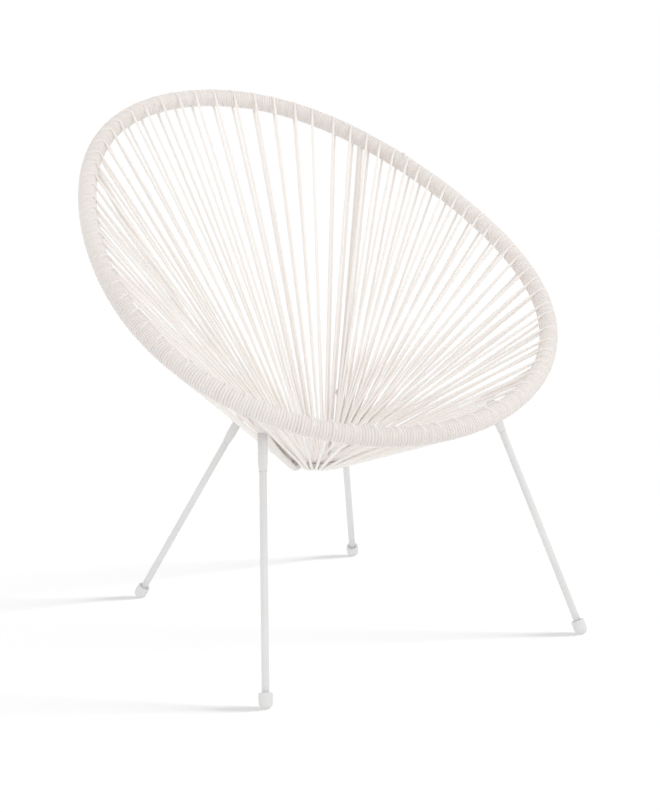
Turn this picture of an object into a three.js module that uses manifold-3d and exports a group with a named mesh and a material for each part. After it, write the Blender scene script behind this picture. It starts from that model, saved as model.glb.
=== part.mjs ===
// Lounge chair: an egg-shaped hoop and a small base ring, joined by four struts,
// strung with one white cord that wraps the hoop and spans to the ring, on four splayed legs.
// Millimetres, +Z up, the seat opens towards -Y. The floor is z = 0.

import * as THREE from 'three';
import { mergeVertices } from 'three/addons/utils/BufferGeometryUtils.js';
import Module from 'manifold-3d';

const wasm = await Module();
wasm.setup();

// General
const fitGap = 0.3;
const fullTurn = 2 * Math.PI;
const degree = fullTurn / 360;
const joinDistance = 1e-3;
const smallestDetail = 0.05;
const angleStep = 1e-4;

// Hoop: its plan is drawn in a tilted plane and bowed a little out of it
const hoopHalfWidth = 358;
const hoopHalfLength = 439;
const hoopTilt = 32.3 * degree;
const hoopCentreY = -2.3;
const hoopCentreZ = 614.6;
const hoopNarrowShare = -0.153;
const hoopWaistShare = 0.093;
const hoopShoulderShare = 0.062;
const hoopEndBow = -8.1;
const hoopSkewBow = 12.4;
const hoopTubeRadius = 9.5;
const hoopSteps = 54;
const hoopSides = 10;
const hoopSamples = 400;

// Base ring, level, that gathers the cord
const ringRadius = 40.5;
const ringRodRadius = 4;
const ringCentreY = -25.4;
const ringCentreZ = 267;
const ringSteps = 24;
const ringSides = 8;

// Cord: a loop goes over the hoop and under the ring, beside the next one
const cordRadius = 2.2;
const cordSides = 5;
const rightLoops = 22;
const frontLoops = 17;
const leftLoops = 20;
const rearLoops = 17;
const panelsInStretch = 3;
const strandShift = 3.5;
const strandSink = 1.6;
const ringRearLoop = 50.8 * degree;
const ringSideRearLoop = 69.2 * degree;
const ringSideFrontLoop = 80.8 * degree;
const ringFrontLoop = 118 * degree;

// Struts from under the rim of the ring to the hoop, bent a little outwards
const strutRadius = 5;
const strutSides = 10;
const strutSteps = 6;
const strutBow = 11;
const strutOutset = 6.6;
const strutDrop = 6.6;
const strutOverrun = 4;
const rearStrutRingAngle = 60 * degree;
const frontStrutRingAngle = 90 * degree;
const rearRightStrutHoopAngle = 48.7 * degree;
const rearLeftStrutHoopAngle = 51.3 * degree;
const frontStrutHoopAngle = 140 * degree;

// Legs: where each stands, and how far along its strut it is held
const frontFootX = 287;
const frontFootY = -350;
const rearFootX = 215.5;
const rearFootY = 241.5;
const frontLegShare = 0.724;
const rearLegShare = 0.21;
const legRadius = 5.6;
const legSides = 12;
const legEndBevel = 1;
const legInsertion = 44;

// Leg sockets, welded under the struts: the reach is from the mouth to the middle of the strut
const socketRadius = 7.4;
const frontSocketReach = 61;
const rearSocketReach = 77;
const socketBelowStrut = 3;
const socketTaper = 12;
const socketLip = 0.5;
const socketSides = 12;

// Foot caps: a bullet shape pushed on the leg, worn flat where it stands
const footRadius = 10.5;
const footLength = 24.5;
const footRimRound = 1.2;
const footFlat = 0.8;
const footBoreEnd = 9;
const footSides = 14;
const footDomeSteps = 5;

// Margins of the wedge that trims each panel of cord
const wedgeBeyondHoop = 27;
const wedgeBesideHoop = 25;
const wedgeBeyondRing = 9.4;
const wedgeBesideRing = 12.6;

// Colours and finishes
const cordWhite = { color: 0xf2eeea, roughness: 0.45, metalness: 0 };
const paintWhite = { color: 0xe6e6e6, roughness: 0.35, metalness: 0.1 };
const capWhite = { color: 0xdedede, roughness: 0.5, metalness: 0 };

// Radius of a regular polygon's corners whose sides lie at the given radius
const aroundRadius = (radius, sides) => radius / Math.cos(Math.PI / sides);

const hoopBore = aroundRadius(hoopTubeRadius + fitGap, hoopSides);
const hoopCordMiddle = hoopBore + cordRadius;
const hoopCordOuter = hoopCordMiddle + cordRadius;
const ringBore = aroundRadius(ringRodRadius + fitGap, ringSides);
const ringCordMiddle = ringBore + cordRadius;
const ringCordOuter = ringCordMiddle + cordRadius;

const group = new THREE.Group();

function addPiece(name, geometry, finish) {
  const mesh = new THREE.Mesh(geometry, new THREE.MeshStandardMaterial(finish));
  mesh.name = name;
  group.add(mesh);
}

// A closed geometry as a solid that can be joined and cut
function solidOf(geometry) {
  const bare = geometry.clone();
  bare.deleteAttribute('normal');
  bare.deleteAttribute('uv');
  const merged = mergeVertices(bare, joinDistance);
  return new wasm.Manifold(new wasm.Mesh({
    numProp: 3,
    vertProperties: new Float32Array(merged.attributes.position.array),
    triVerts: new Uint32Array(merged.index.array),
  }));
}

// A solid without the slivers that its cuts leave
const tidied = (solid) => solid.asOriginal().simplify(smallestDetail);

function geometryOf(solid) {
  const mesh = solid.getMesh();
  const geometry = new THREE.BufferGeometry();
  geometry.setAttribute('position', new THREE.BufferAttribute(new Float32Array(mesh.vertProperties), 3));
  geometry.setIndex(new THREE.BufferAttribute(new Uint32Array(mesh.triVerts), 1));
  geometry.computeVertexNormals();
  return geometry;
}

// Turns +Y to the given direction and moves the start to the given point
function alongAxis(geometry, start, direction) {
  const turn = new THREE.Quaternion().setFromUnitVectors(new THREE.Vector3(0, 1, 0), direction);
  geometry.applyQuaternion(turn);
  geometry.translate(start.x, start.y, start.z);
  return geometry;
}

function rodBetween(start, end, radius, sides) {
  const direction = end.clone().sub(start);
  const length = direction.length();
  const rod = new THREE.CylinderGeometry(radius, radius, length, sides);
  rod.translate(0, length / 2, 0);
  return alongAxis(rod, start, direction.normalize());
}

// A closed rod along an open curve
function rodAlong(curve, steps, radius, sides) {
  const shape = new THREE.Shape();
  for (let i = 0; i < sides; i++) {
    const angle = fullTurn * i / sides;
    shape[i === 0 ? 'moveTo' : 'lineTo'](radius * Math.cos(angle), radius * Math.sin(angle));
  }
  shape.closePath();
  return new THREE.ExtrudeGeometry(shape, { steps, extrudePath: curve, bevelEnabled: false });
}

// A line from low to high, bowed outwards and down by the given amount
function bowedCurve(low, high, bow) {
  const chord = high.clone().sub(low);
  const level = new THREE.Vector3(-chord.y, chord.x, 0);
  const down = new THREE.Vector3().crossVectors(level, chord).normalize();
  const middle = low.clone().lerp(high, 1 / 2).addScaledVector(down, bow * 2);
  return new THREE.QuadraticBezierCurve3(low, middle, high);
}

class HoopCurve extends THREE.Curve {
  constructor(from, to) {
    super();
    this.from = from;
    this.to = to;
  }

  getPoint(share, target = new THREE.Vector3()) {
    const angle = this.from + (this.to - this.from) * share;
    const c = Math.cos(angle);
    const fullness = 1 + hoopNarrowShare * c + hoopWaistShare * c * c + hoopShoulderShare * c * c * c;
    const across = hoopHalfWidth * Math.sin(angle) * fullness;
    const along = hoopHalfLength * c;
    const bow = hoopEndBow * (c * c - 1 / 2) + hoopSkewBow * (c * c * c - c * 3 / 4);
    return target.set(
      across,
      hoopCentreY + along * Math.cos(hoopTilt) - bow * Math.sin(hoopTilt),
      hoopCentreZ + along * Math.sin(hoopTilt) + bow * Math.cos(hoopTilt),
    );
  }
}

class RingCurve extends THREE.Curve {
  constructor(from, to) {
    super();
    this.from = from;
    this.to = to;
  }

  getPoint(share, target = new THREE.Vector3()) {
    const angle = this.from + (this.to - this.from) * share;
    const x = ringRadius * Math.sin(angle);
    const y = ringCentreY + ringRadius * Math.cos(angle);
    return target.set(x, y, ringCentreZ);
  }
}

const wholeHoop = new HoopCurve(0, fullTurn);
const wholeRing = new RingCurve(0, fullTurn);
const hoopPoint = (angle) => wholeHoop.getPoint(angle / fullTurn);
const ringPoint = (angle) => wholeRing.getPoint(angle / fullTurn);

function tangentOf(pointAt, angle) {
  return pointAt(angle + angleStep).sub(pointAt(angle - angleStep)).normalize();
}

// Angle on the hoop that lies a length further along it
function hoopAngleAfter(angle, length) {
  const speed = hoopPoint(angle + angleStep).distanceTo(hoopPoint(angle)) / angleStep;
  return angle + length / speed;
}

// Angles that part a stretch of the hoop into equal lengths
function evenHoopAngles(from, to, count) {
  const lengths = [0];
  for (let i = 1; i <= hoopSamples; i++) {
    const a = from + (to - from) * (i - 1) / hoopSamples;
    const b = from + (to - from) * i / hoopSamples;
    lengths.push(lengths[i - 1] + hoopPoint(a).distanceTo(hoopPoint(b)));
  }
  const angles = [];
  let i = 1;
  for (let k = 0; k <= count; k++) {
    const wanted = lengths[hoopSamples] * k / count;
    while (i < hoopSamples && lengths[i] < wanted) {
      i++;
    }
    const part = (wanted - lengths[i - 1]) / (lengths[i] - lengths[i - 1]);
    angles.push(from + (to - from) * (i - 1 + part) / hoopSamples);
  }
  return angles;
}

// Struts and legs, on the right and mirrored on the left
const supports = [];
for (const side of ['right', 'left']) {
  for (const end of ['rear', 'front']) {
    const isRear = end === 'rear';
    const mirrored = (angle) => (side === 'right' ? angle : fullTurn - angle);
    const across = side === 'right' ? 1 : -1;
    const ringAngle = mirrored(isRear ? rearStrutRingAngle : frontStrutRingAngle);
    const rearHoopAngle = side === 'right' ? rearRightStrutHoopAngle : rearLeftStrutHoopAngle;
    const high = hoopPoint(mirrored(isRear ? rearHoopAngle : frontStrutHoopAngle));
    const outwards = ringPoint(ringAngle).sub(new THREE.Vector3(0, ringCentreY, ringCentreZ)).normalize();
    const low = ringPoint(ringAngle).addScaledVector(outwards, strutOutset);
    low.z -= strutDrop;
    low.addScaledVector(high.clone().sub(low).normalize(), -strutOverrun);
    const curve = bowedCurve(low, high, strutBow);
    const joint = curve.getPoint(isRear ? rearLegShare : frontLegShare);
    const foot = isRear ? [rearFootX, rearFootY] : [frontFootX, frontFootY];
    const footCentre = new THREE.Vector3(foot[0] * across, foot[1], footRadius - footFlat);
    const up = joint.clone().sub(footCentre).normalize();
    const reach = isRear ? rearSocketReach : frontSocketReach;
    const mouth = joint.clone().addScaledVector(up, -reach);
    const socketLength = reach - socketBelowStrut;
    supports.push({ name: end + '_' + side, curve, footCentre, up, mouth, socketLength });
  }
}

// The hoop and the ring, the room that each takes up in the cord, and the cord wound round each
const roundHoop = (radius) => solidOf(new THREE.TubeGeometry(wholeHoop, hoopSteps, radius, hoopSides, true));
const roundRing = (radius) => solidOf(new THREE.TubeGeometry(wholeRing, ringSteps, radius, ringSides, true));
addPiece('hoop_tube', geometryOf(roundHoop(hoopTubeRadius)), paintWhite);
addPiece('base_ring', geometryOf(roundRing(ringRodRadius)), paintWhite);
const hoopClearance = roundHoop(hoopBore);
const ringClearance = roundRing(ringBore);
const windings = roundHoop(hoopCordOuter).add(roundRing(ringCordOuter));

for (const support of supports) {
  const rod = solidOf(rodAlong(support.curve, strutSteps, strutRadius, strutSides));
  const fitted = rod.subtract(hoopClearance).subtract(ringClearance);
  addPiece('strut_' + support.name, geometryOf(fitted), paintWhite);
  const room = aroundRadius(strutRadius + fitGap, strutSides);
  support.clearance = solidOf(rodAlong(support.curve, strutSteps, room, strutSides));
}

// A socket with a blind bore, its top cut to the strut that it is welded to
for (const support of supports) {
  const bore = aroundRadius(legRadius + fitGap, socketSides);
  const boreTop = legInsertion + fitGap;
  const points = [
    [0, boreTop],
    [bore, boreTop],
    [bore, 0],
    [bore + socketLip, 0],
    [socketRadius, socketTaper],
    [socketRadius, support.socketLength],
    [0, support.socketLength],
  ].map(([radius, height]) => new THREE.Vector2(radius, height));
  const socket = solidOf(alongAxis(new THREE.LatheGeometry(points, socketSides), support.mouth, support.up));
  addPiece('leg_socket_' + support.name, geometryOf(socket.subtract(support.clearance)), paintWhite);
  const top = support.mouth.clone().addScaledVector(support.up, support.socketLength + fitGap);
  const room = aroundRadius(socketRadius + fitGap, socketSides);
  support.socketClearance = solidOf(rodBetween(support.mouth, top, room, socketSides));
}

// A leg rod with bevelled ends, from its foot cap into its socket
for (const support of supports) {
  const low = support.footCentre.clone().addScaledVector(support.up, footBoreEnd - footRadius + fitGap);
  const high = support.mouth.clone().addScaledVector(support.up, legInsertion);
  const length = high.distanceTo(low);
  const points = [
    [0, 0],
    [legRadius - legEndBevel, 0],
    [legRadius, legEndBevel],
    [legRadius, length - legEndBevel],
    [legRadius - legEndBevel, length],
    [0, length],
  ].map(([radius, height]) => new THREE.Vector2(radius, height));
  const lathe = new THREE.LatheGeometry(points, legSides);
  addPiece('leg_' + support.name, geometryOf(solidOf(alongAxis(lathe, low, support.up))), paintWhite);
}

// A foot cap with a blind bore for the leg and a small flat on the floor
for (const support of supports) {
  const bore = aroundRadius(legRadius + fitGap, footSides);
  const points = [];
  for (let i = 0; i <= footDomeSteps; i++) {
    const angle = Math.PI / 2 * i / footDomeSteps;
    points.push([footRadius * Math.sin(angle), footRadius - footRadius * Math.cos(angle)]);
  }
  points.push([footRadius, footLength - footRimRound]);
  points.push([footRadius - footRimRound, footLength]);
  points.push([bore, footLength]);
  points.push([bore, footBoreEnd]);
  points.push([0, footBoreEnd]);
  const profile = points.map(([radius, height]) => new THREE.Vector2(radius, height));
  const tip = support.footCentre.clone().addScaledVector(support.up, -footRadius);
  const cap = solidOf(alongAxis(new THREE.LatheGeometry(profile, footSides), tip, support.up));
  const floor = new THREE.BoxGeometry(footLength * 2, footLength * 2, footLength);
  floor.translate(support.footCentre.x, support.footCentre.y, -footLength / 2);
  addPiece('foot_' + support.name, geometryOf(cap.subtract(solidOf(floor))), capWhite);
}

// The cut between two panels: a rectangle in the plane of a line from the hoop to the ring
function panelEdge(hoopAngle, ringAngle) {
  const high = hoopPoint(hoopAngle);
  const low = ringPoint(ringAngle);
  const inward = low.clone().sub(high).normalize();
  const across = tangentOf(hoopPoint, hoopAngle).add(tangentOf(ringPoint, ringAngle));
  across.addScaledVector(inward, -across.dot(inward)).normalize();
  const out = new THREE.Vector3().crossVectors(inward, across);
  const corner = (point, along, beside) => (
    point.clone().addScaledVector(inward, along).addScaledVector(out, beside)
  );
  return {
    across,
    corners: [
      corner(high, -wedgeBeyondHoop, -wedgeBesideHoop),
      corner(high, -wedgeBeyondHoop, wedgeBesideHoop),
      corner(low, wedgeBeyondRing, wedgeBesideRing),
      corner(low, wedgeBeyondRing, -wedgeBesideRing),
    ],
  };
}

// The space between two cuts, with half the gap taken off at each
function wedgeBetween(first, second) {
  const near = first.corners.map((point) => point.clone().addScaledVector(first.across, fitGap / 2));
  const far = second.corners.map((point) => point.clone().addScaledVector(second.across, -fitGap / 2));
  const positions = [...near, ...far].flatMap((point) => point.toArray());
  const count = near.length;
  const faces = [[0, 2, 1], [0, 3, 2], [4, 5, 6], [4, 6, 7]];
  for (let i = 0; i < count; i++) {
    const next = (i + 1) % count;
    faces.push([i, next + count, i + count], [i, next, next + count]);
  }
  const geometry = new THREE.BufferGeometry();
  geometry.setAttribute('position', new THREE.BufferAttribute(new Float32Array(positions), 3));
  geometry.setIndex(faces.flat());
  return solidOf(geometry);
}

// One straight strand, from the winding on the hoop to the winding on the ring
function strand(hoopAngle, ringAngle, side) {
  const high = hoopPoint(hoopAngle);
  const low = ringPoint(ringAngle);
  const inward = low.clone().sub(high).normalize();
  const fromHoop = new THREE.Vector3().crossVectors(inward, tangentOf(hoopPoint, hoopAngle)).normalize();
  const fromRing = new THREE.Vector3().crossVectors(inward, tangentOf(ringPoint, ringAngle)).normalize();
  return rodBetween(
    high.addScaledVector(fromHoop, side * (hoopCordMiddle - strandSink)),
    low.addScaledVector(fromRing, side * (ringCordMiddle - strandSink)),
    cordRadius,
    cordSides,
  );
}

// Four stretches of cord between the struts, clockwise from the rear right strut: their loops, their ends
// on the hoop, the ring angles of the struts at both ends, and those of their first and last loops
const stretches = [
  {
    loops: rightLoops,
    hoop: [rearRightStrutHoopAngle, frontStrutHoopAngle],
    ring: [rearStrutRingAngle, frontStrutRingAngle],
    gathered: [ringSideRearLoop, ringSideFrontLoop],
  },
  {
    loops: frontLoops,
    hoop: [frontStrutHoopAngle, fullTurn - frontStrutHoopAngle],
    ring: [frontStrutRingAngle, fullTurn - frontStrutRingAngle],
    gathered: [ringFrontLoop, fullTurn - ringFrontLoop],
  },
  {
    loops: leftLoops,
    hoop: [fullTurn - frontStrutHoopAngle, fullTurn - rearLeftStrutHoopAngle],
    ring: [fullTurn - frontStrutRingAngle, fullTurn - rearStrutRingAngle],
    gathered: [fullTurn - ringSideFrontLoop, fullTurn - ringSideRearLoop],
  },
  {
    loops: rearLoops,
    hoop: [fullTurn - rearLeftStrutHoopAngle, fullTurn + rearRightStrutHoopAngle],
    ring: [fullTurn - rearStrutRingAngle, fullTurn + rearStrutRingAngle],
    gathered: [fullTurn - ringRearLoop, fullTurn + ringRearLoop],
  },
];

// Panels of cord: some loops each, with their winding on the hoop and on the ring
let panelNumber = 0;
for (const stretch of stretches) {
  const hoopMarks = evenHoopAngles(stretch.hoop[0], stretch.hoop[1], stretch.loops * 2);
  const ringPitch = (stretch.gathered[1] - stretch.gathered[0]) / (stretch.loops - 1);
  const firstLoop = (panel) => Math.round(stretch.loops * panel / panelsInStretch);
  const edgeBefore = (panel) => {
    const share = firstLoop(panel) / stretch.loops;
    const ringAngle = stretch.ring[0] + (stretch.ring[1] - stretch.ring[0]) * share;
    return panelEdge(hoopMarks[firstLoop(panel) * 2], ringAngle);
  };
  for (let panel = 0; panel < panelsInStretch; panel++) {
    const wedge = wedgeBetween(edgeBefore(panel), edgeBefore(panel + 1));
    let cord = windings;
    for (let loop = firstLoop(panel); loop < firstLoop(panel + 1); loop++) {
      const middle = hoopMarks[loop * 2 + 1];
      const ringAngle = stretch.gathered[0] + ringPitch * loop;
      cord = cord.add(solidOf(strand(hoopAngleAfter(middle, -strandShift / 2), ringAngle, 1)));
      cord = cord.add(solidOf(strand(hoopAngleAfter(middle, strandShift / 2), ringAngle, -1)));
    }
    cord = cord.intersect(wedge).subtract(hoopClearance).subtract(ringClearance);
    for (const support of supports) {
      cord = cord.subtract(support.clearance).subtract(support.socketClearance);
    }
    panelNumber += 1;
    addPiece('cord_panel_' + String(panelNumber).padStart(2, '0'), geometryOf(tidied(cord)), cordWhite);
  }
}

export default group;
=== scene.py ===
"""String lounge chair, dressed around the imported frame: round cord, painted frame, foot caps."""
import math

import bpy
import numpy as np
from mathutils import Matrix, Vector


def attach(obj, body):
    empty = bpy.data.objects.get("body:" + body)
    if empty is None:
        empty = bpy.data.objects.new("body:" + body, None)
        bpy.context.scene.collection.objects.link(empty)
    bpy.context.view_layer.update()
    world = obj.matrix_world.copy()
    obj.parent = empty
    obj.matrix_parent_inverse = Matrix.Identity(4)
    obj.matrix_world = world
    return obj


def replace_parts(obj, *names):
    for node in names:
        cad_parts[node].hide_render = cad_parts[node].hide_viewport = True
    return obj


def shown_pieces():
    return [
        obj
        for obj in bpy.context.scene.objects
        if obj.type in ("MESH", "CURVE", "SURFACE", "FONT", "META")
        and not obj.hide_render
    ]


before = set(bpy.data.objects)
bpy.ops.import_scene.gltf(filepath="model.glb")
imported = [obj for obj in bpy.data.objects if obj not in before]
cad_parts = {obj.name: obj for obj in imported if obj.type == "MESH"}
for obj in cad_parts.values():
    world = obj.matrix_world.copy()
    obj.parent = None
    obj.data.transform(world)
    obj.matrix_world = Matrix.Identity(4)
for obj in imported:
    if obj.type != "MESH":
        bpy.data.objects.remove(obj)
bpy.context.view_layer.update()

# Sizes and places of the chair are in millimetres until a mesh is made
MM = 0.001
TURN = 2 * math.pi
HALF_TURN = TURN / 2
QUARTER_TURN = TURN / 4
DEGREE = TURN / 360
BODY = "root"
SEED = 7
rng = np.random.default_rng(SEED)

# The hoop's middle line: an oval that is narrower behind, tilted, and a little bowed out of its plane
HOOP_HALF_WIDTH = 358.0
HOOP_HALF_LENGTH = 439.0
HOOP_TILT = 32.3 * DEGREE
HOOP_CENTRE_Y = -2.3
HOOP_CENTRE_Z = 614.6
HOOP_NARROW = -0.153
HOOP_WAIST = 0.093
HOOP_SHOULDER = 0.062
HOOP_END_BOW = -8.1
HOOP_SKEW_BOW = 12.4
HOOP_SAMPLES = 9001

# The ring's middle line and its rod
RING_RADIUS = 40.5
RING_CENTRE = np.array([0.0, -25.4, 267.0])
RING_ROD = 4.0
RING_STEPS = 96

# The winding on the hoop, whose cord is pressed a little flat
WINDING_RADIUS = 12.75
WINDING_TURNS = 560
WINDING_HALF_HEIGHT = 2.05
WINDING_HALF_WIDTH = 2.5
WINDING_SIDES = 10
STEPS_IN_TURN = 20
# Its unevenness along the hoop: sine waves with a height, radians per millimetre and a start
WOBBLE = ((0.5, 0.051, 0.0), (0.3, 0.113, 1.3), (0.1, 0.41, 0.7))
SWELL = ((0.12, 0.77, 2.0), (0.08, 0.23, 0.0))
TONE_DRIFT = ((0.1, 0.013, 0.0), (0.08, 0.37, 0.0))

# The loops: where the cord crosses the hoop it lies on the winding, slants, and goes back under it
CORD = 2.2
STRAND_SIDES = 12
CROSSING_STEPS = 20
CROSSING_LIFT = 2.3
CROSSING_SLANT = 8.0
CROSSING_SHARE = 0.42
CROSSING_SINK = 3.4
STRAND_SHIFT = 3.5
STRAND_SPREAD = 2.3
SPREAD_LIMIT = 2.0
STRAND_OWN_SPREAD = 0.7
RING_WINDING = 6.5
RING_BEND_STEPS = 4

# Tones: on the cord from the low colour to the high one, and on the paint a low tone is the struts' coat,
# warmer and lightened with painted light that lifts their shade
PLAIN_TONE = 0.5
WINDING_TONE = 0.2
CROSSING_TONE = 0.4
STRAND_TONE = 0.7
STRAND_TONE_SPREAD = 0.3
STRUT_TONE = 0.0
TAIL_TONE = 0.1
# The share of a strand's length, from the hoop, after which its tone changes
TONE_CHANGE = 0.04

# The cut end of the cord: its place along the hoop and round it, and how it comes out of the winding
TAIL_ALONG = 401.0
TAIL_OFFSET = 5.0
TAIL_SLANT = 1.3
TAIL_FROM = 100 * DEGREE
TAIL_STEP = 7 * DEGREE
TAIL_POINTS = 9
TAIL_RISE_POINTS = 3
TAIL_LIFT = 2.6
TAIL_SINK = 2.4
TAIL_RADIUS = 1.9

# Struts: each starts a little outside and below the ring's rod. Their angles are clockwise from the back,
# seen from above.
STRUT_RADIUS = 5.0
STRUT_BOW = 11.0
STRUT_OUTSET = 6.6
STRUT_DROP = 6.6
STRUT_OVERRUN = 4.0
STRUT_POINTS = 49
STRUT_CHAMFER = 0.9
REAR_STRUT_RING = 60 * DEGREE
FRONT_STRUT_RING = 90 * DEGREE
REAR_RIGHT_STRUT_HOOP = 48.7 * DEGREE
REAR_LEFT_STRUT_HOOP = 51.3 * DEGREE
FRONT_STRUT_HOOP = 140 * DEGREE

# Legs: a leg's share is where its socket meets the strut, from the ring to the hoop. It starts inside its
# foot cap, this far above the tip, and goes this deep into its socket.
FRONT_FOOT = (287.0, -350.0)
REAR_FOOT = (215.5, 241.5)
FRONT_LEG_SHARE = 0.724
REAR_LEG_SHARE = 0.21
LEG_RADIUS = 5.6
LEG_CHAMFER = 0.8
LEG_START = 9.0
LEG_INSERTION = 44.0

# Sockets: the mouth has a small rounded lip round the leg, and widens to the full radius at a shoulder
SOCKET_RADIUS = 7.4
FRONT_SOCKET_REACH = 61.0
REAR_SOCKET_REACH = 77.0
SOCKET_CLEARANCE = 0.1
SOCKET_MOUTH_DEPTH = 1.5
SOCKET_LIP = (0.15, 0.4, 0.65)
SOCKET_LIP_EDGE = 0.3
SOCKET_TAPER = 12.0
SHOULDER_SHARE = 0.75
SHOULDER_DROP = (0.5, 0.1)
SHOULDER_EASE = 3.0

# Beads of weld, whose waves are a height, waves round the bead and a start
WELD = 1.3
WELD_STEPS = 48
WELD_SIDES = 10
WELD_RIPPLE = ((0.12, 14, 0), (0.1, 3, 1))
WELD_SWELL = ((0.1, 9, 0),)
WELD_START = np.array([0.3, 0.9, 0.2])
RING_WELD_DROP = 0.7 * RING_ROD
RING_WELD_OUTSET = 0.75 * RING_ROD
RING_WELD_CLEARANCE = 0.2
SOCKET_WELD_DROP = 3.4
SOCKET_WELD_CLEARANCE = 0.1

# Foot caps: the edge's points lie inside the radius and below the top, and the mouth's round the leg
FOOT_RADIUS = 10.5
FOOT_LENGTH = 24.5
FOOT_FLAT = 0.8
FOOT_TIP_STEPS = 12
FOOT_EDGE = ((0.0, 1.6), (0.5, 0.4), (1.6, 0.0))
FOOT_MOUTH = ((0.3, 0.0), (0.1, 3.0))

# Sides of the round pieces, and how far off its axis a turned shape starts
TUBE_SIDES = 24
TURNED_SIDES = 32
FOOT_SIDES = 40
AXIS_RADIUS = 0.01
# A path that starts steeper than this takes its first cross direction from the level
STEEP = 0.9

# Colours, as the shaders take them
WHITE = (1.0, 1.0, 1.0)
BLACK = (0.0, 0.0, 0.0)
CORD_WARM = (0.94, 0.905, 0.87)
CORD_COOL = (0.93, 0.90, 0.87)
CORD_LOW = (0.84, 0.815, 0.81)
CORD_HIGH = WHITE
CORD_GRIME = (0.62, 0.56, 0.50)
CORD_GRIME_AMOUNT = 0.12
# A faint glow of the cord: painted light that lifts the cord's shade in its crevices
CORD_PAINTED_GLOW = 0.035
PAINT_LOW = (0.76, 0.755, 0.75)
PAINT_HIGH = (0.80, 0.795, 0.79)
PAINT_WORN = (0.7, 0.7, 0.69)
PAINT_WORN_AMOUNT = 0.35
# The struts' coat: warmer than the other paint, and lighter as painted light that lifts the struts' shade
PAINT_STRUT_AND_PAINTED_LIFT = (0.86, 0.815, 0.775)
CAP_LOW = (0.74, 0.74, 0.735)
CAP_HIGH = (0.79, 0.79, 0.785)
CAP_DIRT = (0.36, 0.34, 0.31)
CAP_DIRT_AMOUNT = 0.5
CAP_DIRT_HEIGHT = 0.007

# Studio, in metres: light from all round, stronger from the front and above, and a floor that glows as a lit
# white sweep does. To the camera the floor is white but for the soft shadows of a low sun that lights the
# floor alone. A share of that white is lit, of the whole the sun gives its part, and the rest is a glow.
AMBIENT = 0.85
AMBIENT_TILT = 0.20
FRONT = np.array([-0.25, -0.86, 0.25])
FLOOR_SIZE = 60
FLOOR_GLOW = 0.93
FLOOR_SHARE = 0.20
FLOOR_SUN = 0.28
FLOOR_MARGIN = 0.012
SUN_ELEVATION = 16 * DEGREE
SUN_AZIMUTH = np.array([0.866, -0.5])
SUN_WIDTH = 16 * DEGREE
SUN_DISTANCE = 4
KEY_PLACE = (1.9, -1.9, 2.4)
KEY_TARGET = (0, 0, 0.5)
KEY_SIZE = 1.2
KEY_POWER = 10

# Camera: where it stands, in millimetres, its turn, its focal length in pixels of the picture, and the
# nearest and farthest that it sees, in metres
CAMERA_PLACE = np.array([-1454.2, -2589.3, 977.4])
CAMERA_YAW = 0.5226
CAMERA_PITCH = 0.2073
CAMERA_ROLL = -0.0299
CAMERA_FOCAL = 1836.08
PICTURE_HEIGHT = 812
SENSOR = 36.0
NEAREST = 0.1
FARTHEST = 100


# Curves
def unit(v):
    return v / np.linalg.norm(v, axis=-1, keepdims=True)


def towards(start, end, share):
    return start * (1 - share) + end * share


def waves(table, along):
    """A sum of sine waves, each with a height, a rate and a start."""
    return sum(height * np.sin(along * rate + start) for height, rate, start in table)


def ease(share):
    """From 0 to 1 with a soft start and end."""
    return 0.5 - 0.5 * math.cos(HALF_TURN * min(1.0, max(0.0, share)))


def hoop_point(angle):
    c, s = np.cos(angle), np.sin(angle)
    full = 1 + HOOP_NARROW * c + HOOP_WAIST * c * c + HOOP_SHOULDER * c**3
    along = HOOP_HALF_LENGTH * c
    bow = HOOP_END_BOW * (c * c - 0.5) + HOOP_SKEW_BOW * (c**3 - 0.75 * c)
    y = HOOP_CENTRE_Y + along * math.cos(HOOP_TILT) - bow * math.sin(HOOP_TILT)
    z = HOOP_CENTRE_Z + along * math.sin(HOOP_TILT) + bow * math.cos(HOOP_TILT)
    return np.stack([HOOP_HALF_WIDTH * s * full, y, z], -1)


def ring_point(angle):
    around = np.stack([np.sin(angle), np.cos(angle), np.zeros_like(angle)], -1)
    return RING_CENTRE + RING_RADIUS * around


def tangent(point_at, angle):
    small = 1e-4
    return unit(point_at(angle + small) - point_at(angle - small))


# The length along the hoop from its top, at angles from one turn before it to two turns after
SPAN = np.linspace(-TURN, 2 * TURN, HOOP_SAMPLES)
STEPS_ALONG = np.linalg.norm(np.diff(hoop_point(SPAN), axis=0), axis=1)
LENGTHS = np.concatenate([[0], np.cumsum(STEPS_ALONG)])
LENGTHS -= np.interp(0, SPAN, LENGTHS)


def length_at(angle):
    return np.interp(angle, SPAN, LENGTHS)


def angle_at(length):
    return np.interp(length, LENGTHS, SPAN)


WINDING_PITCH = float(length_at(TURN)) / WINDING_TURNS


def hoop_frame(angle):
    """A point of the hoop, its tangent, the direction to the ring, and the one across both."""
    point = hoop_point(angle)
    ahead = tangent(hoop_point, angle)
    inward = RING_CENTRE - point
    inward = unit(inward - ahead * np.sum(inward * ahead, -1, keepdims=True))
    return point, ahead, inward, np.cross(inward, ahead)


def hoop_side(turn, length, radius):
    """A place round the hoop: 0 faces the ring, a quarter turn is the inner side."""
    point, _, inward, over = hoop_frame(angle_at(length))
    return point + (inward * math.cos(turn) + over * math.sin(turn)) * radius


def ring_side(turn, angle, radius, hoop_length):
    """A place round the ring's rod: 0 faces the hoop, a quarter turn is the upper side."""
    hub = ring_point(angle)
    away = unit(hoop_point(angle_at(hoop_length)) - hub)
    level = tangent(ring_point, angle)
    away = unit(away - level * np.dot(away, level))
    upper = np.cross(-away, level)
    return hub + (away * math.cos(turn) + upper * math.sin(turn)) * radius


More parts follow.
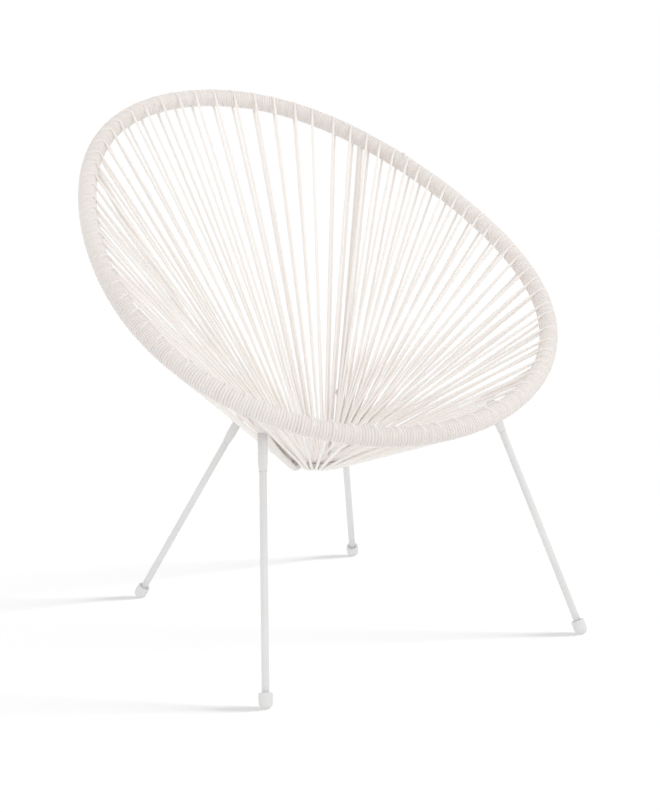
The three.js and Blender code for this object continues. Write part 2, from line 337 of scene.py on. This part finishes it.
def bowed(low, high, bow, count):
    """A path between two points that sags below its chord."""
    chord = high - low
    level = np.array([-chord[1], chord[0], 0])
    down = unit(np.cross(level, chord))
    control = (low + high) / 2 + down * bow * 2
    share = np.linspace(0, 1, count)[:, None]
    return (1 - share) ** 2 * low + 2 * share * (1 - share) * control + share**2 * high


# Meshes
def grid_faces(rows, sides, first, closed):
    """Faces of a tube of rows of points, with its ends closed unless it runs into itself."""
    i = np.arange(rows if closed else rows - 1)[:, None]
    j = np.arange(sides)[None, :]
    here = i * sides
    there = ((i + 1) % rows) * sides
    following = (j + 1) % sides
    corners = [here + j, here + following, there + following, there + j]
    faces = (np.stack(corners, -1).reshape(-1, 4) + first).tolist()
    if not closed:
        faces.append((first + np.arange(sides)[::-1]).tolist())
        faces.append((first + (rows - 1) * sides + np.arange(sides)).tolist())
    return faces


def frames_along(points, closed):
    """A steady pair of cross directions at each point of a path."""
    ahead = np.roll(points, -1, 0) - np.roll(points, 1, 0)
    if not closed:
        ahead[0] = points[1] - points[0]
        ahead[-1] = points[-1] - points[-2]
    ahead = unit(ahead)
    side = np.zeros_like(points)
    steep = abs(ahead[0][2]) >= STEEP
    start = np.array([1.0, 0, 0]) if steep else np.array([0, 0, 1.0])
    for k, direction in enumerate(ahead):
        side[k] = unit(start - direction * np.dot(start, direction))
        start = side[k]
    return side, np.cross(ahead, side)


def tube(points, radius, sides, closed):
    """Rows of points round a path."""
    side, other = frames_along(points, closed)
    turn = (np.arange(sides) * TURN / sides)[None, :, None]
    radius = np.broadcast_to(np.asarray(radius, float), (len(points),))[:, None, None]
    around = side[:, None] * np.cos(turn) + other[:, None] * np.sin(turn)
    return (points[:, None] + around * radius).reshape(-1, 3)


def lathe(profile, start, direction, sides):
    """Rows of points of a turned shape that stands nearly upright, from its radii and heights."""
    side = unit(np.cross(direction, np.array([1.0, 0, 0])))
    other = np.cross(direction, side)
    turn = (np.arange(sides) * TURN / sides)[:, None]
    around = side * np.cos(turn) + other * np.sin(turn)
    return np.concatenate([start + direction * height + around * radius for radius, height in profile])


def rounded_tip(radius, steps):
    """Profile of a half ball, from its tip."""
    turns = [k * QUARTER_TURN / steps for k in range(steps + 1)]
    return [(max(AXIS_RADIUS, radius * math.sin(turn)), radius * (1 - math.cos(turn))) for turn in turns]


class Heap:
    """Gathers the tubes and turned shapes of one piece."""

    def __init__(self):
        self.verts, self.faces, self.tones, self.count = [], [], [], 0

    def add(self, verts, rows, closed=False, tone=PLAIN_TONE):
        """Rows of points, with one tone, or one for each row."""
        sides = len(verts) // rows
        self.verts.append(verts)
        self.faces += grid_faces(rows, sides, self.count, closed)
        self.tones.append(np.repeat(np.broadcast_to(tone, (rows,)), sides))
        self.count += len(verts)

    def tube(self, points, radius, sides, closed=False, tone=PLAIN_TONE):
        self.add(tube(points, radius, sides, closed), len(points), closed, tone)

    def weld(self, centre, axis, radius):
        """A bead of weld round a joint, a little uneven."""
        side = unit(np.cross(axis, WELD_START))
        other = np.cross(axis, side)
        turn = np.linspace(0, TURN, WELD_STEPS + 1)[:-1]
        around = side * np.cos(turn)[:, None] + other * np.sin(turn)[:, None]
        path = centre + around * (radius + waves(WELD_RIPPLE, turn))[:, None]
        self.tube(path, WELD + waves(WELD_SWELL, turn), WELD_SIDES, closed=True)

    def piece(self, name, material, slot):
        mesh = bpy.data.meshes.new(name)
        mesh.from_pydata((np.concatenate(self.verts) * MM).tolist(), [], self.faces)
        mesh.update()
        mesh.polygons.foreach_set("use_smooth", [True] * len(mesh.polygons))
        layer = mesh.attributes.new("tone", "FLOAT", "POINT")
        layer.data.foreach_set("value", np.concatenate(self.tones).astype(np.float32))
        mesh.materials.append(material)
        piece = bpy.data.objects.new(name, mesh)
        bpy.context.scene.collection.objects.link(piece)
        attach(piece, BODY)
        return piece


# Materials: places in the noises, and the distances of bumps and light under the surface, are in metres
def new_material(name):
    material = bpy.data.materials.new(name)
    material.use_nodes = True
    tree = material.node_tree
    tree.nodes.clear()
    return material, tree


def new_surface(name):
    material, tree = new_material(name)
    out = tree.nodes.new("ShaderNodeOutputMaterial")
    shader = tree.nodes.new("ShaderNodeBsdfPrincipled")
    tree.links.new(shader.outputs[0], out.inputs[0])
    return material, tree, shader


def node(tree, kind, values=None, links=None, **settings):
    made = tree.nodes.new(kind)
    for key, value in settings.items():
        setattr(made, key, value)
    for key, value in (values or {}).items():
        made.inputs[key].default_value = value
    for key, source in (links or {}).items():
        tree.links.new(source, made.inputs[key])
    return made


def grey(value):
    return (value, value, value)


def noise(tree, place, scale, detail=3.0, roughness=0.5):
    values = {"Scale": scale, "Detail": detail, "Roughness": roughness}
    made = node(tree, "ShaderNodeTexNoise", values, {"Vector": place.outputs["Object"]})
    return made.outputs["Fac"]


def ramp(tree, source, low, high):
    """From one colour to another, each with its place in the source's values."""
    made = node(tree, "ShaderNodeValToRGB", links={"Fac": source})
    for element, (at, colour) in zip(made.color_ramp.elements, (low, high)):
        element.position = at
        element.color = (*colour, 1)
    return made.outputs["Color"]


def scaled(tree, source, factor):
    return node(tree, "ShaderNodeMath", {1: factor}, {0: source}, operation="MULTIPLY").outputs[0]


def mix(tree, factor, a, b, blend="MIX"):
    made = node(tree, "ShaderNodeMix", data_type="RGBA", blend_type=blend)
    for key, value in (("Factor", factor), ("A", a), ("B", b)):
        socket = next(s for s in made.inputs if s.name == key and s.enabled)
        if isinstance(value, bpy.types.NodeSocket):
            tree.links.new(value, socket)
        else:
            socket.default_value = value if key == "Factor" else (*value, 1)
    return next(s for s in made.outputs if s.enabled)


def bump(tree, source, strength, distance):
    values = {"Strength": strength, "Distance": distance}
    return node(tree, "ShaderNodeBump", values, {"Height": source}).outputs[0]


def tone_of(tree):
    return node(tree, "ShaderNodeAttribute", attribute_name="tone").outputs["Fac"]


def cord_material():
    """Extruded plastic cord: satin, warm white, a little translucent, each length of its own tone, with a
    faint glow of painted light that lifts its shade.
    """
    material, tree, shader = new_surface("cord_plastic")
    place = node(tree, "ShaderNodeTexCoord")
    patches = noise(tree, place, scale=9.0)
    body = ramp(tree, patches, (0.35, CORD_COOL), (0.65, CORD_WARM))
    tint = ramp(tree, tone_of(tree), (0.0, CORD_LOW), (1.0, CORD_HIGH))
    base = mix(tree, 1.0, body, tint, "MULTIPLY")
    specks = noise(tree, place, scale=1400.0, detail=2.0)
    grime = ramp(tree, specks, (0.62, BLACK), (0.78, WHITE))
    base = mix(tree, scaled(tree, grime, CORD_GRIME_AMOUNT), base, CORD_GRIME)
    tree.links.new(base, shader.inputs["Base Color"])
    fine = noise(tree, place, scale=420.0)
    rough = ramp(tree, fine, (0.3, grey(0.36)), (0.7, grey(0.5)))
    tree.links.new(rough, shader.inputs["Roughness"])
    tree.links.new(bump(tree, fine, strength=0.25, distance=0.0003), shader.inputs["Normal"])
    shader.inputs["Specular IOR Level"].default_value = 0.4
    shader.inputs["Subsurface Weight"].default_value = 0.25
    shader.inputs["Subsurface Radius"].default_value = (1.0, 0.8, 0.7)
    shader.inputs["Subsurface Scale"].default_value = 0.002
    # The faint glow in the cord's own colour is painted light that lifts its shade
    tree.links.new(base, shader.inputs["Emission Color"])
    shader.inputs["Emission Strength"].default_value = CORD_PAINTED_GLOW
    return material


def paint_material():
    """Powder coat on steel: fine orange peel, faint rubs, and at a low tone the struts' warmer coat,
    lightened with painted light that lifts their shade.
    """
    material, tree, shader = new_surface("frame_powder_coat")
    place = node(tree, "ShaderNodeTexCoord")
    patches = noise(tree, place, scale=14.0)
    body = ramp(tree, patches, (0.35, PAINT_LOW), (0.65, PAINT_HIGH))
    # The low tone picks the struts' warmer coat, whose extra lightness is painted light lifting their shade
    warm = ramp(tree, tone_of(tree), (0.1, WHITE), (0.4, BLACK))
    coat = mix(tree, warm, body, PAINT_STRUT_AND_PAINTED_LIFT)
    rubs = noise(tree, place, scale=160.0, detail=6.0, roughness=0.7)
    worn = ramp(tree, rubs, (0.66, BLACK), (0.74, WHITE))
    base = mix(tree, scaled(tree, worn, PAINT_WORN_AMOUNT), coat, PAINT_WORN)
    tree.links.new(base, shader.inputs["Base Color"])
    rough = ramp(tree, rubs, (0.3, grey(0.32)), (0.75, grey(0.5)))
    tree.links.new(rough, shader.inputs["Roughness"])
    peel = noise(tree, place, scale=900.0, detail=2.0)
    tree.links.new(bump(tree, peel, strength=0.35, distance=0.0002), shader.inputs["Normal"])
    shader.inputs["Coat Weight"].default_value = 0.15
    shader.inputs["Coat Roughness"].default_value = 0.25
    return material


def cap_material():
    """Moulded plastic, scuffed and a little dirty near the floor."""
    material, tree, shader = new_surface("foot_cap_plastic")
    place = node(tree, "ShaderNodeTexCoord")
    parts = node(tree, "ShaderNodeSeparateXYZ", links={0: place.outputs["Object"]})
    height = ramp(tree, parts.outputs["Z"], (0.0, WHITE), (CAP_DIRT_HEIGHT, BLACK))
    patches = noise(tree, place, scale=260.0, detail=5.0, roughness=0.65)
    scuffs = ramp(tree, patches, (0.4, BLACK), (0.6, WHITE))
    dirty = mix(tree, 1.0, height, scuffs, "MULTIPLY")
    tint = ramp(tree, patches, (0.3, CAP_LOW), (0.7, CAP_HIGH))
    base = mix(tree, scaled(tree, dirty, CAP_DIRT_AMOUNT), tint, CAP_DIRT)
    tree.links.new(base, shader.inputs["Base Color"])
    rough = ramp(tree, patches, (0.3, grey(0.42)), (0.7, grey(0.6)))
    tree.links.new(rough, shader.inputs["Roughness"])
    grain = noise(tree, place, scale=1500.0, detail=2.0)
    tree.links.new(bump(tree, grain, strength=0.2, distance=0.0002), shader.inputs["Normal"])
    return material


cord_plastic = cord_material()
paint = paint_material()
cap_plastic = cap_material()


# Cord
def winding(name, first, last, panel):
    """The turns of the winding between two lengths along the hoop."""
    steps = int(round((last - first) / WINDING_PITCH * STEPS_IN_TURN)) + 1
    length = np.linspace(first, last, steps)
    point, ahead, inward, over = hoop_frame(angle_at(length + waves(WOBBLE, length)))
    turn = (length / WINDING_PITCH * TURN)[:, None]
    out = -inward * np.cos(turn) + over * np.sin(turn)
    middle = point + out * (WINDING_RADIUS + waves(SWELL, length))[:, None]
    around = (np.arange(WINDING_SIDES) * TURN / WINDING_SIDES)[None, :, None]
    high = out[:, None] * np.cos(around) * WINDING_HALF_HEIGHT
    wide = ahead[:, None] * np.sin(around) * WINDING_HALF_WIDTH
    heap = Heap()
    verts = (middle[:, None] + high - wide).reshape(-1, 3)
    heap.add(verts, steps, tone=WINDING_TONE + waves(TONE_DRIFT, length))
    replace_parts(heap.piece(name, cord_plastic, "cord"), panel)


def crossing_path(inner_at, outer_at):
    """A loop's way over the hoop, slanting, and back under its winding, between two lengths along it."""
    far_at = inner_at - CROSSING_SLANT
    points = []
    for k in range(CROSSING_STEPS + 1):
        share = k / CROSSING_STEPS
        crossed = share / CROSSING_SHARE
        hidden = (share - CROSSING_SHARE) / (1 - CROSSING_SHARE)
        if crossed < 1:
            length = inner_at - CROSSING_SLANT * crossed
            radius = WINDING_RADIUS + CROSSING_LIFT * (1 - ease(crossed))
        else:
            length = far_at + (outer_at - far_at) * ease(hidden)
            radius = WINDING_RADIUS - CROSSING_SINK * math.sin(HALF_TURN * hidden)
        points.append(hoop_side(QUARTER_TURN + share * HALF_TURN, length, radius))
    return points


def loop_path(hoop_length, ring_angle, lift, ring_pitch):
    """One loop and its tones: round the ring, up inside, across the hoop, and down outside."""
    own = rng.normal(0, STRAND_OWN_SPREAD, 2)
    own_tone = STRAND_TONE + STRAND_TONE_SPREAD * rng.random()
    radius = RING_WINDING + lift
    up, down = [], []
    for k in range(RING_BEND_STEPS + 1):
        share = k / RING_BEND_STEPS
        up_angle = ring_angle - (1 - share) / 2 * ring_pitch
        down_angle = ring_angle + share / 2 * ring_pitch
        up.append(ring_side(HALF_TURN - share * QUARTER_TURN, up_angle, radius, hoop_length))
        down.append(ring_side(-(1 + share) * QUARTER_TURN, down_angle, radius, hoop_length))
    inner_at = hoop_length - STRAND_SHIFT / 2 + own[0]
    outer_at = hoop_length + STRAND_SHIFT / 2 + own[1]
    over = crossing_path(inner_at, outer_at)
    up.append(towards(over[0], up[-1], TONE_CHANGE))
    down.insert(0, towards(over[-1], down[0], TONE_CHANGE))
    tones = [own_tone] * len(up) + [CROSSING_TONE] * len(over) + [own_tone] * len(down)
    return np.array(up + over + down), np.array(tones)


def tail_path():
    """The cut end of the cord, tucked over the winding."""
    points = []
    for k in range(TAIL_POINTS):
        radius = WINDING_RADIUS + TAIL_LIFT - TAIL_SINK * ease(1 - k / TAIL_RISE_POINTS)
        length = TAIL_ALONG + TAIL_OFFSET - TAIL_SLANT * k
        points.append(hoop_side(TAIL_FROM + TAIL_STEP * k, length, radius))
    return np.array(points)


# Stretches of cord between the struts, clockwise from the rear right strut: where each begins and ends on
# the hoop and on the ring, its loops, and the layers and their lift on the ring
PANELS_IN_STRETCH = 3
SIDE_RING = (69.2 * DEGREE, 80.8 * DEGREE)
FRONT_RING = 118 * DEGREE
REAR_RING = 50.8 * DEGREE
RIGHT_LOOPS = 22
FRONT_LOOPS = 17
LEFT_LOOPS = 20
REAR_LOOPS = 17
SIDE_LAYERS = (3, 2.6)
FRONT_LAYERS = (1, 0.0)
REAR_LAYERS = (2, 1.3)
RIGHT_HOOP = (REAR_RIGHT_STRUT_HOOP, FRONT_STRUT_HOOP)
FRONT_HOOP = (FRONT_STRUT_HOOP, TURN - FRONT_STRUT_HOOP)
LEFT_HOOP = (TURN - FRONT_STRUT_HOOP, TURN - REAR_LEFT_STRUT_HOOP)
REAR_HOOP = (TURN - REAR_LEFT_STRUT_HOOP, TURN + REAR_RIGHT_STRUT_HOOP)
STRETCHES = [
    (RIGHT_HOOP, SIDE_RING, RIGHT_LOOPS, SIDE_LAYERS),
    (FRONT_HOOP, (FRONT_RING, TURN - FRONT_RING), FRONT_LOOPS, FRONT_LAYERS),
    (LEFT_HOOP, (TURN - SIDE_RING[1], TURN - SIDE_RING[0]), LEFT_LOOPS, SIDE_LAYERS),
    (REAR_HOOP, (TURN - REAR_RING, TURN + REAR_RING), REAR_LOOPS, REAR_LAYERS),
]

number = 0
for (hoop_from, hoop_to), (ring_from, ring_to), loops, (layers, layer_lift) in STRETCHES:
    begin, end = length_at(hoop_from), length_at(hoop_to)
    pitch = (end - begin) / loops
    ring_pitch = (ring_to - ring_from) / (loops - 1)
    for part in range(PANELS_IN_STRETCH):
        number += 1
        panel = f"cord_panel_{number:02d}"
        first = round(loops * part / PANELS_IN_STRETCH)
        last = round(loops * (part + 1) / PANELS_IN_STRETCH)
        panel_begin, panel_end = begin + first * pitch, begin + last * pitch
        winding(f"winding_{number:02d}", panel_begin, panel_end, panel)
        heap = Heap()
        for loop in range(first, last):
            lift = layer_lift * (loop % layers)
            spread = np.clip(rng.normal(), -SPREAD_LIMIT, SPREAD_LIMIT) * STRAND_SPREAD
            middle = begin + (loop + 0.5) * pitch + spread
            path, tones = loop_path(middle, ring_from + loop * ring_pitch, lift, ring_pitch)
            heap.tube(path, CORD, STRAND_SIDES, tone=tones)
        if panel_begin < TAIL_ALONG < panel_end:
            heap.tube(tail_path(), TAIL_RADIUS, STRAND_SIDES, tone=TAIL_TONE)
        strands = heap.piece(f"strands_{number:02d}", cord_plastic, "cord")
        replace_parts(strands, panel)


# Frame
def dress_ring():
    heap = Heap()
    angles = np.linspace(0, TURN, RING_STEPS + 1)[:-1]
    heap.tube(ring_point(angles), RING_ROD, TUBE_SIDES, closed=True)
    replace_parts(heap.piece("ring_rod", paint, "frame_paint"), "base_ring")


def dress_strut(name, path, hub, outward, along):
    heap = Heap()
    radii = np.full(len(path), STRUT_RADIUS)
    radii[0] -= STRUT_CHAMFER
    heap.tube(path, radii, TUBE_SIDES, tone=STRUT_TONE)
    bead = hub + outward * RING_WELD_OUTSET - np.array([0, 0, RING_WELD_DROP])
    heap.weld(bead, along, STRUT_RADIUS + RING_WELD_CLEARANCE)
    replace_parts(heap.piece(f"round_strut_{name}", paint, "frame_paint"), f"strut_{name}")


def dress_socket(name, mouth, joint, up, reach):
    inner, crest, outer = SOCKET_LIP
    low, high = SHOULDER_DROP
    profile = [
        (LEG_RADIUS + SOCKET_CLEARANCE, SOCKET_MOUTH_DEPTH),
        (LEG_RADIUS + inner, SOCKET_LIP_EDGE), (LEG_RADIUS + crest, 0), (LEG_RADIUS + outer, SOCKET_LIP_EDGE),
        (SOCKET_RADIUS - low, SOCKET_TAPER * SHOULDER_SHARE), (SOCKET_RADIUS - high, SOCKET_TAPER),
        (SOCKET_RADIUS, SOCKET_TAPER + SHOULDER_EASE), (SOCKET_RADIUS, reach - SHOULDER_EASE),
    ]
    heap = Heap()
    heap.add(lathe(profile, mouth, up, TURNED_SIDES), len(profile))
    heap.weld(joint - up * SOCKET_WELD_DROP, up, SOCKET_RADIUS + SOCKET_WELD_CLEARANCE)
    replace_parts(heap.piece(f"round_socket_{name}", paint, "frame_paint"), f"leg_socket_{name}")


def dress_leg(name, foot, mouth, up):
    low = foot + up * (LEG_START - FOOT_RADIUS)
    length = float(np.linalg.norm(mouth + up * LEG_INSERTION - low))
    end_radius = LEG_RADIUS - LEG_CHAMFER
    profile = [
        (AXIS_RADIUS, 0), (end_radius, 0), (LEG_RADIUS, LEG_CHAMFER),
        (LEG_RADIUS, length - LEG_CHAMFER), (end_radius, length), (AXIS_RADIUS, length),
    ]
    heap = Heap()
    heap.add(lathe(profile, low, up, TURNED_SIDES), len(profile))
    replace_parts(heap.piece(f"round_leg_{name}", paint, "frame_paint"), f"leg_{name}")


def dress_foot(name, foot, up):
    """The cap, from its rounded tip, which the floor flattens, to the edge of its mouth."""
    profile = rounded_tip(FOOT_RADIUS, FOOT_TIP_STEPS)
    profile += [(FOOT_RADIUS - inward, FOOT_LENGTH - below) for inward, below in FOOT_EDGE]
    profile += [(LEG_RADIUS + gap, FOOT_LENGTH - below) for gap, below in FOOT_MOUTH]
    verts = lathe(profile, foot - up * FOOT_RADIUS, up, FOOT_SIDES)
    verts[:, 2] = np.maximum(verts[:, 2], 0.0)
    heap = Heap()
    heap.add(verts, len(profile))
    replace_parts(heap.piece(f"round_foot_{name}", cap_plastic, "foot_cap"), f"foot_{name}")


def dress_corner(name, across, ring_angle, hoop_angle, foot_place, leg_share, reach):
    """The strut, the socket, the leg and the foot cap of one corner, right or left of the middle."""
    high = hoop_point(np.float64(hoop_angle * across))
    hub = ring_point(np.float64(ring_angle * across))
    outward = unit(hub - RING_CENTRE)
    start = hub + outward * STRUT_OUTSET - np.array([0, 0, STRUT_DROP])
    low = start - unit(high - start) * STRUT_OVERRUN
    path = bowed(low, high, STRUT_BOW, STRUT_POINTS)
    shares = np.linspace(0, 1, STRUT_POINTS)
    joint = np.array([np.interp(leg_share, shares, path[:, k]) for k in range(3)])
    foot = np.array([foot_place[0] * across, foot_place[1], FOOT_RADIUS - FOOT_FLAT])
    up = unit(joint - foot)
    mouth = joint - up * reach
    dress_strut(name, path, hub, outward, unit(high - low))
    dress_socket(name, mouth, joint, up, reach)
    dress_leg(name, foot, mouth, up)
    dress_foot(name, foot, up)


dress_ring()
REAR_LEG = (REAR_FOOT, REAR_LEG_SHARE, REAR_SOCKET_REACH)
FRONT_LEG = (FRONT_FOOT, FRONT_LEG_SHARE, FRONT_SOCKET_REACH)
dress_corner("rear_right", 1, REAR_STRUT_RING, REAR_RIGHT_STRUT_HOOP, *REAR_LEG)
dress_corner("front_right", 1, FRONT_STRUT_RING, FRONT_STRUT_HOOP, *FRONT_LEG)
dress_corner("rear_left", -1, REAR_STRUT_RING, REAR_LEFT_STRUT_HOOP, *REAR_LEG)
dress_corner("front_left", -1, FRONT_STRUT_RING, FRONT_STRUT_HOOP, *FRONT_LEG)

# The hoop's tube is the only node that stays
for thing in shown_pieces():
    if thing.name == "hoop_tube":
        thing.data.materials.clear()
        thing.data.materials.append(paint)


# Studio
def floor_material():
    """A steady glow for the rays that light the chair, and for the camera a white that takes the shadows."""
    material, tree = new_material("studio_floor")
    out = tree.nodes.new("ShaderNodeOutputMaterial")
    steady = node(tree, "ShaderNodeEmission", {"Color": (*WHITE, 1), "Strength": FLOOR_GLOW})
    lit = node(tree, "ShaderNodeBsdfDiffuse", {"Color": (*grey(FLOOR_SHARE), 1)})
    # What a level floor takes from the world, whose light falls off with the cosine of its direction
    sky = FLOOR_SHARE * (AMBIENT + AMBIENT_TILT * 2 / 3 * unit(FRONT)[2])
    rest = 1 + FLOOR_MARGIN - sky - FLOOR_SUN
    glow = node(tree, "ShaderNodeEmission", {"Color": (*WHITE, 1), "Strength": rest})
    both = node(tree, "ShaderNodeAddShader", links={0: lit.outputs[0], 1: glow.outputs[0]})
    path = tree.nodes.new("ShaderNodeLightPath")
    links = {0: path.outputs["Is Camera Ray"], 1: steady.outputs[0], 2: both.outputs[0]}
    switch = node(tree, "ShaderNodeMixShader", links=links)
    tree.links.new(switch.outputs[0], out.inputs[0])
    return material


def studio_world():
    """White for the camera and in gloss, and for the rest the light that is stronger from the front."""
    world = bpy.data.worlds.new("studio")
    world.use_nodes = True
    tree = world.node_tree
    tree.nodes.clear()
    out = tree.nodes.new("ShaderNodeOutputWorld")
    seen = node(tree, "ShaderNodeBackground", {"Color": (*WHITE, 1), "Strength": 1.0})
    place = node(tree, "ShaderNodeTexCoord")
    front = node(tree, "ShaderNodeVectorMath", {1: tuple(unit(FRONT))},
                 {0: place.outputs["Generated"]}, operation="DOT_PRODUCT")
    strength = node(tree, "ShaderNodeMath", {1: AMBIENT_TILT, 2: AMBIENT},
                    {0: front.outputs["Value"]}, operation="MULTIPLY_ADD")
    light = node(tree, "ShaderNodeBackground", {"Color": (*WHITE, 1)}, {"Strength": strength.outputs[0]})
    path = tree.nodes.new("ShaderNodeLightPath")
    seen_by = {0: path.outputs["Is Camera Ray"], 1: path.outputs["Is Glossy Ray"]}
    either = node(tree, "ShaderNodeMath", links=seen_by, operation="MAXIMUM")
    links = {0: either.outputs[0], 1: light.outputs[0], 2: seen.outputs[0]}
    switch = node(tree, "ShaderNodeMixShader", links=links)
    tree.links.new(switch.outputs[0], out.inputs[0])
    return world


def aimed_light(name, kind, place, target):
    data = bpy.data.lights.new(name, kind)
    lamp = bpy.data.objects.new(name, data)
    bpy.context.scene.collection.objects.link(lamp)
    lamp.location = place
    lamp.rotation_euler = (Vector(target) - Vector(place)).to_track_quat("-Z", "Y").to_euler()
    return lamp


def place_camera():
    ahead = np.array([
        math.sin(CAMERA_YAW) * math.cos(CAMERA_PITCH),
        math.cos(CAMERA_YAW) * math.cos(CAMERA_PITCH),
        -math.sin(CAMERA_PITCH),
    ])
    right = np.array([math.cos(CAMERA_YAW), -math.sin(CAMERA_YAW), 0])
    upward = np.cross(right, ahead)
    turned_right = math.cos(CAMERA_ROLL) * right + math.sin(CAMERA_ROLL) * upward
    turned_up = -math.sin(CAMERA_ROLL) * right + math.cos(CAMERA_ROLL) * upward
    data = bpy.data.cameras.new("camera")
    data.sensor_width = SENSOR
    data.lens = CAMERA_FOCAL / PICTURE_HEIGHT * SENSOR
    data.clip_start = NEAREST
    data.clip_end = FARTHEST
    camera = bpy.data.objects.new("camera", data)
    bpy.context.scene.collection.objects.link(camera)
    turn = Matrix((turned_right, turned_up, -ahead)).transposed().to_4x4()
    turn.translation = CAMERA_PLACE * MM
    camera.matrix_world = turn
    bpy.context.scene.camera = camera


bpy.ops.mesh.primitive_plane_add(size=FLOOR_SIZE, location=(0, 0, 0))
floor = bpy.context.object
floor.name = "studio_floor"
floor.data.materials.append(floor_material())

bpy.context.scene.world = studio_world()

sun_place = (*(SUN_AZIMUTH * SUN_DISTANCE), SUN_DISTANCE * math.tan(SUN_ELEVATION))
low_sun = aimed_light("floor_shadow_sun", "SUN", sun_place, (0, 0, 0))
low_sun.data.angle = SUN_WIDTH
low_sun.data.energy = FLOOR_SUN / FLOOR_SHARE * math.pi / math.sin(SUN_ELEVATION)
floor_only = bpy.data.collections.new("floor_only")
floor_only.objects.link(floor)
low_sun.light_linking.receiver_collection = floor_only

key = aimed_light("key_soft", "AREA", KEY_PLACE, KEY_TARGET)
key.data.shape = "DISK"
key.data.size = KEY_SIZE
key.data.energy = KEY_POWER

place_camera()

bpy.context.scene.view_settings.view_transform = "Standard"
